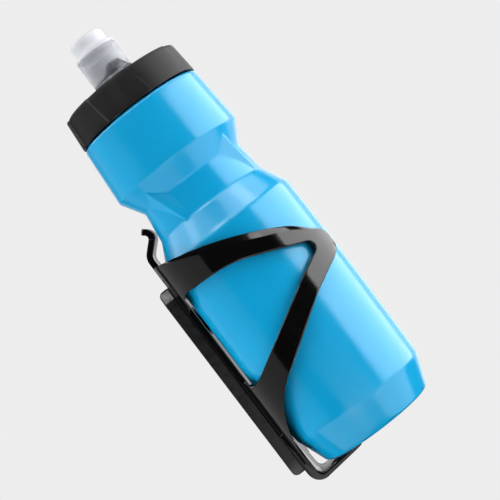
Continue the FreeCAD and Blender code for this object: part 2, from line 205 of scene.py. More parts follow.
def slab(corners, half_width, edge_radius, spacing=3.0, edge_steps=4):
    """A closed outline in the XZ plane made thick along Y, with rounded rims."""
    loop = rounded(corners, every(spacing), closed=True, arc_step=9.0)
    ahead = np.roll(loop, -1, 0) - loop
    ahead /= np.linalg.norm(ahead, axis=1)[:, None]
    tangent = ahead + np.roll(ahead, 1, 0)
    tangent /= np.linalg.norm(tangent, axis=1)[:, None]
    turned = np.stack([-tangent[:, 1], tangent[:, 0]], 1)
    area = np.sum(loop[:, 0] * np.roll(loop[:, 1], -1) - loop[:, 1] * np.roll(loop[:, 0], -1))
    inward = turned * math.copysign(1.0, area)
    low_rim, high_rim = [], []
    for n in range(edge_steps + 1):
        a = math.radians(90 * n / edge_steps)
        edge = loop + inward * (edge_radius * (1 - math.cos(a)))
        y = half_width - edge_radius * (1 - math.sin(a))
        for side, rim in ((-1, low_rim), (1, high_rim)):
            rim.append(np.column_stack([edge[:, 0], np.full(len(loop), side * y), edge[:, 1]]))
    return capped(low_rim[::-1] + high_rim)


def cut(mesh, cutter_mesh):
    """A closed mesh with another closed mesh taken away from it."""
    thing = bpy.data.objects.new("cut_subject", mesh)
    tool = bpy.data.objects.new("cut_tool", cutter_mesh)
    scene.collection.objects.link(thing)
    scene.collection.objects.link(tool)
    step = thing.modifiers.new("step", "BOOLEAN")
    step.operation = "DIFFERENCE"
    step.solver = "EXACT"
    step.object = tool
    graph = bpy.context.evaluated_depsgraph_get()
    done = bpy.data.meshes.new_from_object(thing.evaluated_get(graph))
    bpy.data.objects.remove(thing)
    bpy.data.objects.remove(tool)
    return done


def smooth_max(a, b, k):
    """The larger of two values, blended where they differ by less than k."""
    share = np.clip(0.5 + 0.5 * (a - b) / k, 0, 1)
    return b + (a - b) * share + k * share * (1 - share)


def smooth_min(a, b, k):
    """The smaller of two values, blended in the same way."""
    return -smooth_max(-a, -b, k)


def smooth_step(low, high, x):
    """0 up to low, 1 from high on, and a soft rise between them."""
    t = np.clip((x - low) / (high - low), 0, 1)
    return t * t * (3 - 2 * t)


def thread_height(angle, z, start, middle_z, turns):
    """How far a screw ridge stands up at each angle and height. It starts at +X turned by start degrees."""
    lead, root, crest, depth, runout = 6.0, 1.1, 0.6, 1.2, 9
    along = (angle - 90.0 - start) % 360.0
    height = np.zeros(np.broadcast(angle, z).shape)
    for wrap in range(2):
        swept = along + 360.0 * wrap
        flank = np.clip((root - np.abs(z - middle_z - lead * swept / 360.0)) / (root - crest), 0, 1)
        ends = smooth_step(0, runout, swept) * (1 - smooth_step(360 * turns - runout, 360 * turns, swept))
        height = np.maximum(height, depth * flank * ends)
    return height


# ------------------------------------------------------------------ materials

def linear(*srgb):
    """Colour from 0 to 255 values."""
    levels = [c / 255 / 12.92 if c <= 10 else ((c / 255 + 0.055) / 1.055) ** 2.4 for c in srgb]
    return (*levels, 1.0)


class Finish:
    """A procedural material: a Principled shader and helpers for the textures that feed it."""

    def __init__(self, name, **inputs):
        self.material = bpy.data.materials.new(name)
        self.material.use_nodes = True
        self.tree = self.material.node_tree
        self.shader = self.tree.nodes["Principled BSDF"]
        self.place = self.node("ShaderNodeTexCoord").outputs["Object"]
        for key, value in inputs.items():
            self.shader.inputs[key.replace("_", " ")].default_value = value

    def node(self, kind, **settings):
        made = self.tree.nodes.new(kind)
        for key, value in settings.items():
            setattr(made, key, value)
        return made

    def link(self, source, target):
        self.tree.links.new(source, target)

    def stretched(self, scale):
        """The object's coordinates scaled apart along X, Y and Z."""
        mapping = self.node("ShaderNodeMapping")
        mapping.inputs["Scale"].default_value = scale
        self.link(self.place, mapping.inputs["Vector"])
        return mapping.outputs["Vector"]

    def noise(self, scale, detail=2.0, rough=0.5, place=None):
        made = self.node("ShaderNodeTexNoise")
        made.inputs["Scale"].default_value = scale
        made.inputs["Detail"].default_value = detail
        made.inputs["Roughness"].default_value = rough
        self.link(place or self.place, made.inputs["Vector"])
        return made.outputs["Fac"]

    def ranged(self, source, low, high, from_low=0.3, from_high=0.7):
        """A value moved from one range into another."""
        made = self.node("ShaderNodeMapRange")
        made.inputs["From Min"].default_value = from_low
        made.inputs["From Max"].default_value = from_high
        made.inputs["To Min"].default_value = low
        made.inputs["To Max"].default_value = high
        self.link(source, made.inputs["Value"])
        return made.outputs["Result"]

    def colours(self, source, low, high):
        """A colour between two fixed ones."""
        made = self.node("ShaderNodeMix", data_type="RGBA")
        made.inputs["A"].default_value = low
        made.inputs["B"].default_value = high
        self.link(source, made.inputs["Factor"])
        return made.outputs["Result"]

    def mixed(self, source, first, colour):
        """A textured colour with a fixed one laid over it where the source is 1."""
        made = self.node("ShaderNodeMix", data_type="RGBA")
        made.inputs["B"].default_value = colour
        self.link(first, made.inputs["A"])
        self.link(source, made.inputs["Factor"])
        return made.outputs["Result"]

    def bump(self, source, distance, strength=1.0, below=None):
        """A bumped normal, on top of another one where that is given."""
        made = self.node("ShaderNodeBump")
        made.inputs["Distance"].default_value = distance
        made.inputs["Strength"].default_value = strength
        self.link(source, made.inputs["Height"])
        if below:
            self.link(below, made.inputs["Normal"])
        return made.outputs["Normal"]

    def edges(self, low=0.52, high=0.6):
        """1 along outer edges, 0 elsewhere: a mask for a lighter colour that is partly edge wear and partly a
        painted edge highlight.
        """
        return self.ranged(self.node("ShaderNodeNewGeometry").outputs["Pointiness"], 0.0, 1.0, low, high)

    def near_plane(self, axis, place_mm, half_mm):
        """1 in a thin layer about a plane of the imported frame, 0 elsewhere."""
        split = self.node("ShaderNodeSeparateXYZ")
        self.link(self.place, split.inputs["Vector"])
        away = self.node("ShaderNodeMath", operation="SUBTRACT")
        self.link(split.outputs[axis], away.inputs[0])
        away.inputs[1].default_value = place_mm * MM
        size = self.node("ShaderNodeMath", operation="ABSOLUTE")
        self.link(away.outputs[0], size.inputs[0])
        return self.ranged(size.outputs[0], 1.0, 0.0, 0.0, half_mm * MM)

    def to(self, source, name):
        """Feeds a texture into one of the shader's sockets."""
        self.link(source, self.shader.inputs[name])


# Noise scales count features per metre, and bump distances are in metres.

def body_finish():
    f = Finish("body_satin_plastic", IOR=1.5)
    f.to(f.colours(f.ranged(f.noise(22, 3), 0, 1), linear(8, 168, 224), linear(13, 173, 229)), "Base Color")
    f.to(f.ranged(f.noise(90, 4), 0.17, 0.23), "Roughness")
    ripple = f.bump(f.noise(1.0, 3, place=f.stretched((320, 320, 60))), 0.00004, 0.5)
    grain = f.bump(f.noise(2600, 3), 0.00002, 0.25, ripple)
    seam = f.bump(f.near_plane("Y", 0.0, 0.22), 0.00012, 0.8, grain)
    f.to(seam, "Normal")
    return f.material


def cap_finish():
    f = Finish("cap_matt_plastic", IOR=1.34)
    base = f.colours(f.ranged(f.noise(60, 4), 0, 1), linear(4, 4, 5), linear(8, 8, 9))
    # Outer edges are mixed towards a lighter grey: partly wear, partly a painted highlight along the edges.
    f.to(f.mixed(f.edges(), base, linear(60, 60, 64)), "Base Color")
    f.to(f.ranged(f.noise(240, 3), 0.36, 0.46), "Roughness")
    f.to(f.bump(f.noise(3300, 2), 0.00003, 0.45, f.bump(f.noise(160, 3), 0.00008, 0.25)), "Normal")
    return f.material


def cage_finish():
    f = Finish("cage_gloss_plastic", Roughness=0.1, IOR=1.5)
    base = f.colours(f.ranged(f.noise(40, 3), 0, 1), linear(3, 3, 4), linear(6, 6, 7))
    # Outer edges are mixed towards a lighter grey: partly wear, partly a painted highlight along the edges.
    f.to(f.mixed(f.edges(0.55, 0.66), base, linear(44, 44, 47)), "Base Color")
    scuffs = f.noise(1.0, 4, 0.7, f.stretched((900, 260, 90)))
    f.to(f.ranged(scuffs, 0.07, 0.2, 0.4, 0.75), "Roughness")
    f.to(f.bump(f.noise(2400, 2), 0.00001, 0.2, f.bump(f.noise(70, 2), 0.0001, 0.18)), "Normal")
    return f.material


def rail_finish():
    f = Finish("rail_satin_plastic", Roughness=0.3, IOR=1.5)
    base = f.colours(f.ranged(f.noise(50, 3), 0, 1), linear(14, 14, 16), linear(22, 22, 24))
    # Outer edges are mixed towards a lighter grey: partly wear, partly a painted highlight along the bevels.
    f.to(f.mixed(f.edges(0.55, 0.66), base, linear(60, 60, 64)), "Base Color")
    f.to(f.ranged(f.noise(300, 4), 0.24, 0.38), "Roughness")
    f.to(f.bump(f.noise(2600, 2), 0.00002, 0.3), "Normal")
    return f.material


def nozzle_finish():
    f = Finish("nozzle_smoky_plastic", IOR=1.45, Alpha=0.46)
    clouds = f.ranged(f.noise(180, 3), 0, 1)
    f.to(f.colours(clouds, linear(216, 220, 228), linear(224, 227, 233)), "Base Color")
    f.to(f.ranged(f.noise(400, 3), 0.22, 0.3), "Roughness")
    f.to(f.bump(f.noise(1500, 2), 0.00001, 0.3, f.bump(f.noise(220, 2), 0.00003, 0.3)), "Normal")
    return f.material


def valve_finish():
    f = Finish("valve_grey_plastic", Roughness=0.25, IOR=1.49, Transmission_Weight=0.15)
    f.to(f.colours(f.ranged(f.noise(150, 3), 0, 1), linear(84, 86, 94), linear(104, 106, 114)), "Base Color")
    f.to(f.ranged(f.noise(380, 3), 0.2, 0.32), "Roughness")
    f.to(f.bump(f.noise(1800, 2), 0.00002, 0.3), "Normal")
    return f.material


def silicone_finish(name, low, high):
    f = Finish(name, Roughness=0.42, IOR=1.41, Subsurface_Weight=0.35, Subsurface_Scale=0.002)
    f.shader.inputs["Subsurface Radius"].default_value = (1.0, 0.9, 0.8)
    f.to(f.colours(f.ranged(f.noise(120, 3), 0, 1), low, high), "Base Color")
    f.to(f.ranged(f.noise(500, 3), 0.36, 0.5), "Roughness")
    f.to(f.bump(f.noise(2200, 2), 0.00002, 0.3), "Normal")
    return f.material


BODY_MATERIAL = body_finish()
CAP_MATERIAL = cap_finish()
CAGE_MATERIAL = cage_finish()
RAIL_MATERIAL = rail_finish()
NOZZLE_MATERIAL = nozzle_finish()
VALVE_MATERIAL = valve_finish()
TIP_MATERIAL = silicone_finish("tip_white_silicone", linear(222, 224, 229), linear(230, 232, 236))
SEAL_MATERIAL = silicone_finish("seal_grey_silicone", linear(150, 154, 158), linear(166, 170, 174))


# ---------------------------------------------------------------- bottle wall

# Profiles are runs of (radius, z, rounding radius). RIDGE holds the corners of one grip ridge, each as
# (radius, angle, z).
WALL = 1.1
RIM_MIDDLE = (26.6, 200.2, 0)
OUTSIDE = [
    (0, 2.4, 0), (22.0, 2.4, 2.0), (24.4, 0, 1.2), (29.7, 0, 2.4), (36.0, 16.4, 7.0), (36.85, 76.0, 2400.0),
    (36.3, 118.4, 8.0), (29.8, 131.2, 4.0), (28.0, 146.3, 2.5), (34.9, 157.6, 2.0), (32.8, 187.5, 1.5),
    (27.4, 187.5, 1.0), (27.4, 200.2, 0.4),
]
INSIDE = [
    (25.9, 200.2, 0.4), (25.9, 186.4, 1.0), (31.8, 186.4, 0.8), (33.7, 157.9, 1.0), (26.9, 146.6, 1.4),
    (28.7, 131.1, 3.0), (35.2, 118.2, 7.0), (35.75, 76.0, 2400.0), (34.95, 16.8, 6.0), (28.9, 1.1, 1.4),
    (24.8, 1.1, 1.0), (22.4, 3.5, 1.6), (0, 3.5, 0),
]
RIDGE = {
    "top": (32.3, -38.1, 153.5), "foot": (31.3, -19.4, 128.9), "left": (27.9, -62.0, 146.0),
    "high": (27.9, -14.0, 146.0), "low": (29.2, -14.0, 132.0),
}
RIDGE_RIM = ["top", "left", "foot", "low", "high"]
RIDGE_FACES = [("top", "left", "foot"), ("top", "foot", "low"), ("top", "low", "high")]
RIDGE_PITCH = 90.0
RIDGE_FACE_BLEND = 0.35
RIDGE_RIM_FADE = (-1.2, 0.5)
WAIST_CORE = np.array([0, 0, 141.0])
WAIST_Z = (120, 158)
LEAST_FACING = 0.05
FAR = 60

THREAD_Z = (188.8, 200)
NECK_THREAD = {"start": 0.0, "middle_z": 190.8, "turns": 1.2}
CAP_THREAD = {"start": 90.0, "middle_z": 189.75, "turns": 1.0}


def plane(a, b, c, inner):
    """Normal and distance of the plane through three points, facing away from an inner point."""
    normal = np.cross(b - a, c - a)
    normal *= math.copysign(1.0, normal @ (a - inner)) / np.linalg.norm(normal)
    return normal, normal @ a


def with_ridges(shape, angle, z, inset, blend):
    """The waist's radii with the grip ridges added, softly joined along their crests and feet."""
    middle = RIDGE["top"][1]
    near = (angle - middle + RIDGE_PITCH / 2) % RIDGE_PITCH - RIDGE_PITCH / 2 + middle
    lines = polar(1.0, near, 0.0)
    surface = polar(shape, near, z)
    corner = {name: polar(r - inset, a, h) for name, (r, a, h) in RIDGE.items()}
    radius = None
    for names in RIDGE_FACES:
        normal, distance = plane(*(corner[n] for n in names), WAIST_CORE)
        reach = (distance - normal[2] * z) / np.maximum(lines @ normal, LEAST_FACING)
        radius = reach if radius is None else smooth_min(radius, reach, RIDGE_FACE_BLEND)
    crest = corner["top"] * 0.5 + corner["foot"] * 0.5
    inner = corner["top"] * 0.34 + corner["foot"] * 0.33 + corner["left"] * 0.33
    within = np.full(near.shape, float(FAR))
    for first, second in zip(RIDGE_RIM, RIDGE_RIM[1:] + RIDGE_RIM[:1]):
        normal, distance = plane(corner[first], corner[second], WAIST_CORE, crest)
        side = math.copysign(1.0, distance - normal @ inner)
        within = np.minimum(within, side * (distance - surface @ normal))
    share = smooth_step(*RIDGE_RIM_FADE, within)
    return shape + share * (smooth_max(shape, np.clip(radius, 0, FAR), blend) - shape)


def by_waist(z):
    """Whether a height is on the waist or within 2 mm of it."""
    return WAIST_Z[0] - 2 < z < WAIST_Z[1] + 2


def outside_spacing(r, z):
    """Fine over the waist's ridges and finer over the neck's thread."""
    if by_waist(z):
        return 0.5 if r > 29.5 or z > 131 else 0.7
    return 0.25 if 189 < z < THREAD_Z[1] and r > 27 else 3.0


def inside_spacing(r, z):
    """The inside needs fewer points, because it's only seen through the neck."""
    return 1.5 if by_waist(z) else 4.0


def bottle_shell(columns=480):
    """The blown wall: outside from the base up, over the rim, and down the inside."""
    outside = rounded(OUTSIDE + [RIM_MIDDLE], outside_spacing)
    inside = rounded([RIM_MIDDLE] + INSIDE, inside_spacing)
    angles = np.arange(columns) * 360.0 / columns
    radii, heights = [], []
    for profile, inset, blend in ((outside, 0.0, 0.4), (inside[1:], WALL, 1.2)):
        r, z = profile[:, :1], profile[:, 1:]
        shape = np.repeat(r, columns, 1)
        on_waist = (z > WAIST_Z[0]) & (z < WAIST_Z[1]) & (r > 24)
        shape = np.where(on_waist, with_ridges(shape, angles[None, :], z, inset, blend), shape)
        on_neck = (z > THREAD_Z[0]) & (z < THREAD_Z[1]) & (r > 27)
        thread = thread_height(angles[None, :], z, **NECK_THREAD)
        radii.append(np.where(on_neck, shape + thread, shape))
        heights.append(z)
    radii, heights = np.concatenate(radii), np.concatenate(heights)
    points = polar(radii, angles[None, :], heights)
    return points, grid_faces(len(heights), columns, False, True)


piece("bottle_wall", mesh_of("bottle_wall", [bottle_shell()]), "bottle", ["bottle_body"],
      BODY_MATERIAL, sharp=60)


# ------------------------------------------------------------------------ cap

# Each panel starts low, rises to PANEL_LIFT and ends in a riser. PANEL_MARKS are degrees from its start.
PANELS = 8
PANEL_SPAN = 360.0 / PANELS
PANEL_LIFT = 0.55
PANEL_START = 17.0
PANEL_SLANT = 6.0
PANEL_MIDDLE_LIFT = 0.12
RISER = (43.75, 45.0)
CAP_FOOT_Z = 188.1
CAP_SIDE_HEIGHT = 15.7
PANEL_MARKS = [0, 0.25, 0.6, 1.1, 2, 3.5, 5.5, 8, 11, 14, 17, 20, 23, 26, 29, 32, 35, 37.5, 39.5, 41, 42.2,
               43, 43.5, 43.8, 44.0, 44.25, 44.5, 44.75]


def panel_step(mark):
    """How far a panel's face stands from the mean radius, along the panel."""
    face = np.interp(mark, [0, PANEL_SPAN / 2, 44], [-PANEL_LIFT, PANEL_MIDDLE_LIFT, PANEL_LIFT])
    riser = PANEL_LIFT - 2 * PANEL_LIFT * smooth_step(*RISER, mark)
    return np.where(mark > 43.9, riser, face)


def cap_spacing(r, z):
    """Fine over the thread inside the skirt."""
    return 0.35 if r < 29.1 and 189 < z < 200 else 1.6


def cap_shell():
    """The cap's drum with its panels, the valve's hole and the thread inside."""
    marks = np.tile(PANEL_MARKS, PANELS)
    starts = np.repeat(np.arange(PANELS) * PANEL_SPAN, len(PANEL_MARKS))
    outline = rounded([
        (29.2, CAP_FOOT_Z, 0), (32.8, CAP_FOOT_Z, 0.55), (31.4, 203.8, 0.75), (26.0, 203.8, 3.0),
        (13.8, 206.0, 1.0), (9.2, 206.0, 0.2), (9.2, 203.8, 0.3), (12.5, 203.8, 1.0), (23.0, 201.9, 2.0),
        (29.0, 201.9, 0.5), (29.0, 188.4, 0.2),
    ], cap_spacing, closed=True, arc_step=18)
    r, z = outline[:, :1], outline[:, 1:]
    rise = np.clip((z - CAP_FOOT_Z) / CAP_SIDE_HEIGHT, 0, 1)
    angles = PANEL_START + PANEL_SLANT * (1 - rise) + starts[None, :] + marks[None, :]
    on_side = smooth_step(29.6, 30.8, r)
    radii = r + on_side * panel_step(marks)[None, :]
    in_bore = (r < 29.1) & (z > 188.4) & (z < 201)
    radii = np.where(in_bore, radii - thread_height(angles, z, **CAP_THREAD), radii)
    return polar(radii, angles, z), grid_faces(len(outline), len(marks), True, True)


piece("cap_drum", mesh_of("cap_drum", [cap_shell()]), "cap", ["cap_shell"],
      CAP_MATERIAL, sharp=32)


# ---------------------------------------------------------------------- valve

LUG_ANGLES = (25.0, 205.0)
LUG_HALF_SPAN = 46
LUG_REACH = 70
LUG_SINK_Z = 208.0
LUG_LIFT = 0.02
COLLAR_TOP_Z = 208.8
BELL_TOP_Z = 213.5
SKIN_RADIUS = 10.8
# A lug's section: radius, whether the point is at the top, and how far it lies below the bell's outline.
LUG_SECTION = (
    (9.65, False, 0), (10.78, False, 0), (10.78, True, 0.3), (10.7, True, 0.08), (10.5, True, 0),
    (9.9, True, 0), (9.7, True, 0.08), (9.65, True, 0.3),
)


def lug_outline(play):
    """The bell shape of a lug's top, made larger by the play."""
    foot_z, bell_z = COLLAR_TOP_Z + play, BELL_TOP_Z + play
    return rounded([
        (-9.5, foot_z, 0), (-6.6 - play, foot_z, 3.6), (-3.0 - play, bell_z, 3.2),
        (3.0 + play, bell_z, 3.2), (6.6 + play, foot_z, 3.6), (9.5, foot_z, 0),
    ], every(0.4), arc_step=6)


def lug_top(angle, radius, play):
    """Height of the bell outline at an angle round the valve."""
    line = lug_outline(play)
    height = np.full(np.shape(angle), COLLAR_TOP_Z + play)
    for middle in LUG_ANGLES:
        off = (angle - middle + 180.0) % 360.0 - 180.0
        bell = np.interp(radius * np.sin(np.radians(off)), line[:, 0], line[:, 1])
        height = np.where(np.abs(off) < LUG_REACH, np.maximum(height, bell), height)
    return height


def lug_shells():
    """The two lugs that stand up outside the sleeve."""
    shells = []
    for middle in LUG_ANGLES:
        offs = np.linspace(-LUG_HALF_SPAN, LUG_HALF_SPAN, 2 * LUG_HALF_SPAN + 1)
        tops = lug_top(middle + offs, SKIN_RADIUS, 0.0) + LUG_LIFT
        rows = []
        for r, at_top, drop in LUG_SECTION:
            z = np.where(at_top, tops - drop, LUG_SINK_Z)
            rows.append(polar(r, middle + offs, z))
        points = np.stack(rows)
        faces = grid_faces(len(rows), len(offs), True, False)
        count = len(offs)
        faces.append(tuple(n * count for n in range(len(rows))))
        faces.append(tuple(n * count + count - 1 for n in range(len(rows)))[::-1])
        shells.append((points, faces))
    return shells


valve_shells = [
    lathe(rounded([
        (5.0, 206.0, 0), (7.4, 206.0, 0.2), (7.4, 202.4, 0.1), (8.0, 202.2, 0.1), (9.7, 203.1, 0.2),
        (9.7, 203.7, 0.1), (9.15, 203.7, 0.1), (9.15, 206.05, 0.05), (11.5, 206.05, 0.2), (11.0, 208.8, 0.5),
        (6.5, 208.8, 0.3), (6.5, 215.2, 0.1), (7.2, 215.2, 0.15), (7.2, 215.9, 0.1), (5.9, 215.9, 0.1),
        (5.9, 217.5, 0.1), (7.2, 217.5, 0.1), (7.2, 218.2, 0.2), (5.0, 218.2, 0.2),
    ], every(1.2), closed=True, arc_step=22), 144),
    lathe(rounded([
        (0, 210, 0), (1.5, 210, 0.2), (1.5, 219.8, 0.1), (3.3, 219.8, 0.3), (3.3, 222.0, 0.8), (0, 222.0, 0),
    ], every(1.2), arc_step=22), 72, closed=False),
]
SPOKE_PLAN = ((0.9, -0.6), (5.3, -0.6), (5.3, 0.6), (0.9, 0.6))
SPOKE_HEIGHTS = (210.0, 217.2)
for degrees in (0, 120, 240):
    cosine, sine = math.cos(math.radians(degrees)), math.sin(math.radians(degrees))
    plan = np.array(SPOKE_PLAN) @ np.array([[cosine, sine], [-sine, cosine]])
    valve_shells.append(capped([[(x, y, z) for x, y in plan] for z in SPOKE_HEIGHTS]))
valve_mesh = mesh_of("valve_collar", valve_shells + lug_shells())
piece("valve_collar", valve_mesh, "cap", ["valve_base"], VALVE_MATERIAL, sharp=40)


SLEEVE_FOOT_Z = 209.2
SLEEVE_PLAIN_Z = 217.0
SLEEVE_PLAY = 0.35


def nozzle_shell(columns=360):
    """The pull-up sleeve, whose foot follows the lugs' outline, with the slider inside."""
    outline = rounded([
        (9.6, 209.2, 0.3), (10.8, 209.2, 0.3), (10.8, 217.4, 0), (10.66, 217.8, 0.2), (10.66, 218.2, 0.2),
        (10.8, 218.6, 0), (10.8, 222.9, 0.3), (9.4, 222.9, 0.1), (9.4, 221.9, 0.1), (3.4, 221.9, 0.2),
        (3.4, 220.4, 0.2), (7.35, 220.4, 0.5), (7.35, 210.8, 0.1), (6.75, 210.3, 0.1), (6.75, 209.5, 0.2),
        (8.45, 209.3, 0.3), (8.45, 220.4, 0.5), (9.6, 220.4, 0.5),
    ], every(0.6), closed=True, arc_step=22)
    angles = np.arange(columns) * 360.0 / columns
    r, z = outline[:, :1], outline[:, 1:]
    foot = np.maximum(lug_top(angles, SKIN_RADIUS, SLEEVE_PLAY), SLEEVE_FOOT_Z)[None, :]
    on_skin = (r > 9.3) & (z < SLEEVE_PLAIN_Z)
    lifted = foot + (z - SLEEVE_FOOT_Z) * (SLEEVE_PLAIN_Z - foot) / (SLEEVE_PLAIN_Z - SLEEVE_FOOT_Z)
    height = np.where(on_skin, lifted, z)
    return polar(r, angles[None, :], height), grid_faces(len(outline), columns, True, True)


piece("nozzle_skin", mesh_of("nozzle_skin", [nozzle_shell()]), "nozzle", ["nozzle_shell"],
      NOZZLE_MATERIAL, sharp=40)

mouth = lathe(rounded([
    (7.5, 221.92, 0), (9.35, 221.92, 0.1), (9.35, 222.95, 0.1), (10.8, 222.95, 0.4), (10.8, 224.5, 1.1),
    (8.9, 225.5, 1.2), (8.5, 227.1, 3.0), (9.1, 230.4, 1.6), (8.3, 232.0, 1.0), (6.0, 232.0, 1.0),
    (5.2, 229.5, 2.0), (5.2, 224.3, 0.3), (7.5, 223.0, 0),
], every(0.5), closed=True, arc_step=10), 144)
piece("mouth_tip", mesh_of("mouth_tip", [mouth]), "nozzle", ["mouthpiece"], TIP_MATERIAL)


# ----------------------------------------------------------------------- cage

ARM_OUTER = 40.7
ARM_INNER = 37.4
SPINE_BACK = -40.2
SPINE_FRONT = -37.3
SPINE_HALF_WIDTH = 8.5
SPINE_HEIGHTS = (8.0, 116.4)
MM_PER_DEGREE = ARM_OUTER * math.pi / 180

# Places on the arm are (angle, z). Between the bend and the end of the root the inner face draws back.
ARM_TIP = (67.5, 85.2)
ARM_TIP_START = 50.4
ARM_ROOT_ANGLE = -81.0
ARM_ROOT_BEND = -63.4
ARM_ROOT_END = -58.0
ROOT_INNER_ANGLES = (-86, -77, -72.5)
ROOT_INNER_RADIUS = 38.5
TIP_FADE = (5, 40)
TIP_POINTS = 24
TIP_PULLS = (7.0, 6.5)

# The outer edge and the window's edge are split at these places, so that their parts match.
TOP_CORNER = (-61.0, 120.0)
LOW_HEEL = (-60.0, 32.0)
WINDOW_CORNER = (-58.0, 103.6)
WINDOW_HEEL = (-45.0, 52.6)
WINDOW_APEX_REACH = 4.2
PART_POINTS = (24, 110, 60, 100, 70)
ARM_FOOT_Z = 6.0

# The upper edge is bevelled. The bevel starts at the first angle of BEVEL_GROWTH and has its full width the
# second number of degrees further on. It fades out on the tip, between the two points of the edge whose
# numbers BEVEL_FADE_OUT gives. BEVEL_MARKS are shares of its width.
BEVEL_DROP = 2.3
BEVEL_WIDTH = 2.9
BEVEL_INSET = 0.25
BEVEL_GROWTH = (-56, 34)
BEVEL_LEAST = 0.12
BEVEL_FADE_IN = (-57, -48)
BEVEL_FADE_OUT = (140, 185)
BEVEL_MARKS = (0.0, 0.1, 0.25, 0.5, 0.75, 0.9, 1.0, 1.13, 1.45)
BEVEL_CORNER = 0.09

# Rounded edges of the arm's wall, as (distance from the edge, depth below the face).
UPPER_CORNER = ((0.0, 0.5), (0.08, 0.27))
WINDOW_CORNER_OUTSIDE = ((1.3, 0.0), (0.7, 0.0), (0.35, 0.06), (0.12, 0.22), (0.0, 0.5))
CORNER_INSIDE = ((0.0, 0.35), (0.12, 0.1), (0.35, 0.0), (1.2, 0.0))


def side_to_angle(line):
    """Side-view points (x, z) turned into (angle, z) on the arm's outer face."""
    share = np.clip(line[:, 0] / ARM_OUTER, -1, 1)
    return np.column_stack([np.degrees(np.arcsin(share)), line[:, 1]])


def resample(line, count):
    """A line on the arm with a given number of evenly spaced points."""
    step = line[1:] - line[:-1]
    length = np.hypot(step[:, 0] * MM_PER_DEGREE, step[:, 1])
    along = np.concatenate([[0], np.cumsum(length)])
    marks = np.linspace(0, along[-1], count)
    return np.column_stack([np.interp(marks, along, line[:, n]) for n in (0, 1)])


def cut_at(line, angle):
    """The part of a line before or at an angle, with the line's own direction."""
    z = np.interp(angle, line[:, 0], line[:, 1])
    return np.vstack([line[line[:, 0] < angle], [angle, z]])


def arm_tip(top, low):
    """The arm's rounded end, from the end of its upper edge to the end of its lower one."""
    scale = np.array([MM_PER_DEGREE, 1.0])
    nose = ARM_TIP * scale
    t = np.linspace(0, 1, TIP_POINTS)[:, None]
    halves = []
    for last, before, side in ((top[-1], top[-2], 1.0), (low[0], low[1], -1.0)):
        start = last * scale
        way = start - before * scale
        first_pull = start + way / np.linalg.norm(way) * TIP_PULLS[0]
        second_pull = nose + np.array([0.0, side * TIP_PULLS[1]])
        curve = (1 - t) ** 3 * start + 3 * (1 - t) ** 2 * t * first_pull
        curve = curve + 3 * (1 - t) * t ** 2 * second_pull + t ** 3 * nose
        halves.append(curve / scale)
    return np.vstack([halves[0], halves[1][-2::-1]])


def nearest(line, place_on_arm):
    """Index of the point of a line that lies nearest to a place on the arm."""
    angle, z = place_on_arm
    return np.argmin(np.hypot((line[:, 0] - angle) * MM_PER_DEGREE, line[:, 1] - z))


def arm_edges():
    """Matching points along an arm's outer edge and along its window's edge."""
    top = side_to_angle(rounded([
        (-40.2, 123.5, 0), (-8.0, 115.8, 174.0), (26.7, 100.1, 30.0), (39.9, 87.0, 0),
    ], every(1.0), arc_step=2))
    top = cut_at(top, ARM_TIP_START)
    low = side_to_angle(rounded([
        (39.9, 79.6, 0), (16.5, 67.8, 60.0), (-36.2, 33.1, 44.0), (-36.2, ARM_FOOT_Z, 0),
    ], every(1.0), arc_step=3))
    low = low[low[:, 0] < ARM_TIP_START]
    bottom = np.array([[low[-1, 0], ARM_FOOT_Z], [ARM_ROOT_ANGLE, ARM_FOOT_Z]])
    window = side_to_angle(rounded([
        (-40.2, 95.6, 0), (-36.4, 97.4, 1.6), (-36.4, 104.2, 4.6), (-6.4, 102.6, 60.0), (33.9, 86.6, 3.5),
        (15.5, 78.0, 40.0), (-29.0, 52.4, 12.0), (-36.4, 49.6, 1.5), (-36.4, 54.0, 2.0), (-40.2, 55.5, 0),
    ], every(0.6), arc_step=4))
    apex = np.argmax(window[:, 0])
    from_apex = np.hypot((window[:, 0] - window[apex, 0]) * MM_PER_DEGREE, window[:, 1] - window[apex, 1])
    arc_start, arc_end = np.flatnonzero(from_apex < WINDOW_APEX_REACH)[[0, -1]]
    corner = nearest(window[:arc_start], WINDOW_CORNER)
    heel = arc_end + nearest(window[arc_end:], WINDOW_HEEL)
    top_corner = nearest(top, TOP_CORNER)
    low_heel = nearest(low, LOW_HEEL)
    outer = [top[:top_corner + 1], top[top_corner:], arm_tip(top, low), low[:low_heel + 1],
             np.vstack([low[low_heel:], bottom])]
    inner = [window[:corner + 1], window[corner:arc_start + 1], window[arc_start:arc_end + 1],
             window[arc_end:heel + 1], window[heel:]]
    joined = []
    for runs in (outer, inner):
        parts = [resample(run, n) for run, n in zip(runs, PART_POINTS)]
        joined.append(np.vstack([part if k == 0 else part[1:] for k, part in enumerate(parts)]))
    return joined


def on_arm(angle, z, depth):
    """A point in the arm's wall. Depth 0 is the outer face and 1 the inner one."""
    x_side = ARM_OUTER * np.sin(np.radians(angle))
    straight = np.degrees(np.arcsin(np.clip(x_side / ARM_INNER, -0.97, 0.97)))
    straightness = smooth_step(ARM_ROOT_ANGLE, ARM_ROOT_END, angle) * (1 - smooth_step(*TIP_FADE, angle))
    inner_angle = angle + (straight - angle) * straightness
    at_root = np.interp(angle, [ARM_ROOT_ANGLE, ARM_ROOT_BEND, ARM_ROOT_END], ROOT_INNER_ANGLES)
    inner_radius = np.interp(angle, [ARM_ROOT_BEND, ARM_ROOT_END], [ROOT_INNER_RADIUS, ARM_INNER])
    inner_angle = np.where(angle < ARM_ROOT_END, at_root, inner_angle)
    a = angle + (inner_angle - angle) * np.clip(depth, 0, 1)
    r = ARM_OUTER + (inner_radius - ARM_OUTER) * depth
    point = polar(r, a, z)
    point[..., 0] = np.maximum(point[..., 0], SPINE_BACK + 0.05)
    return point


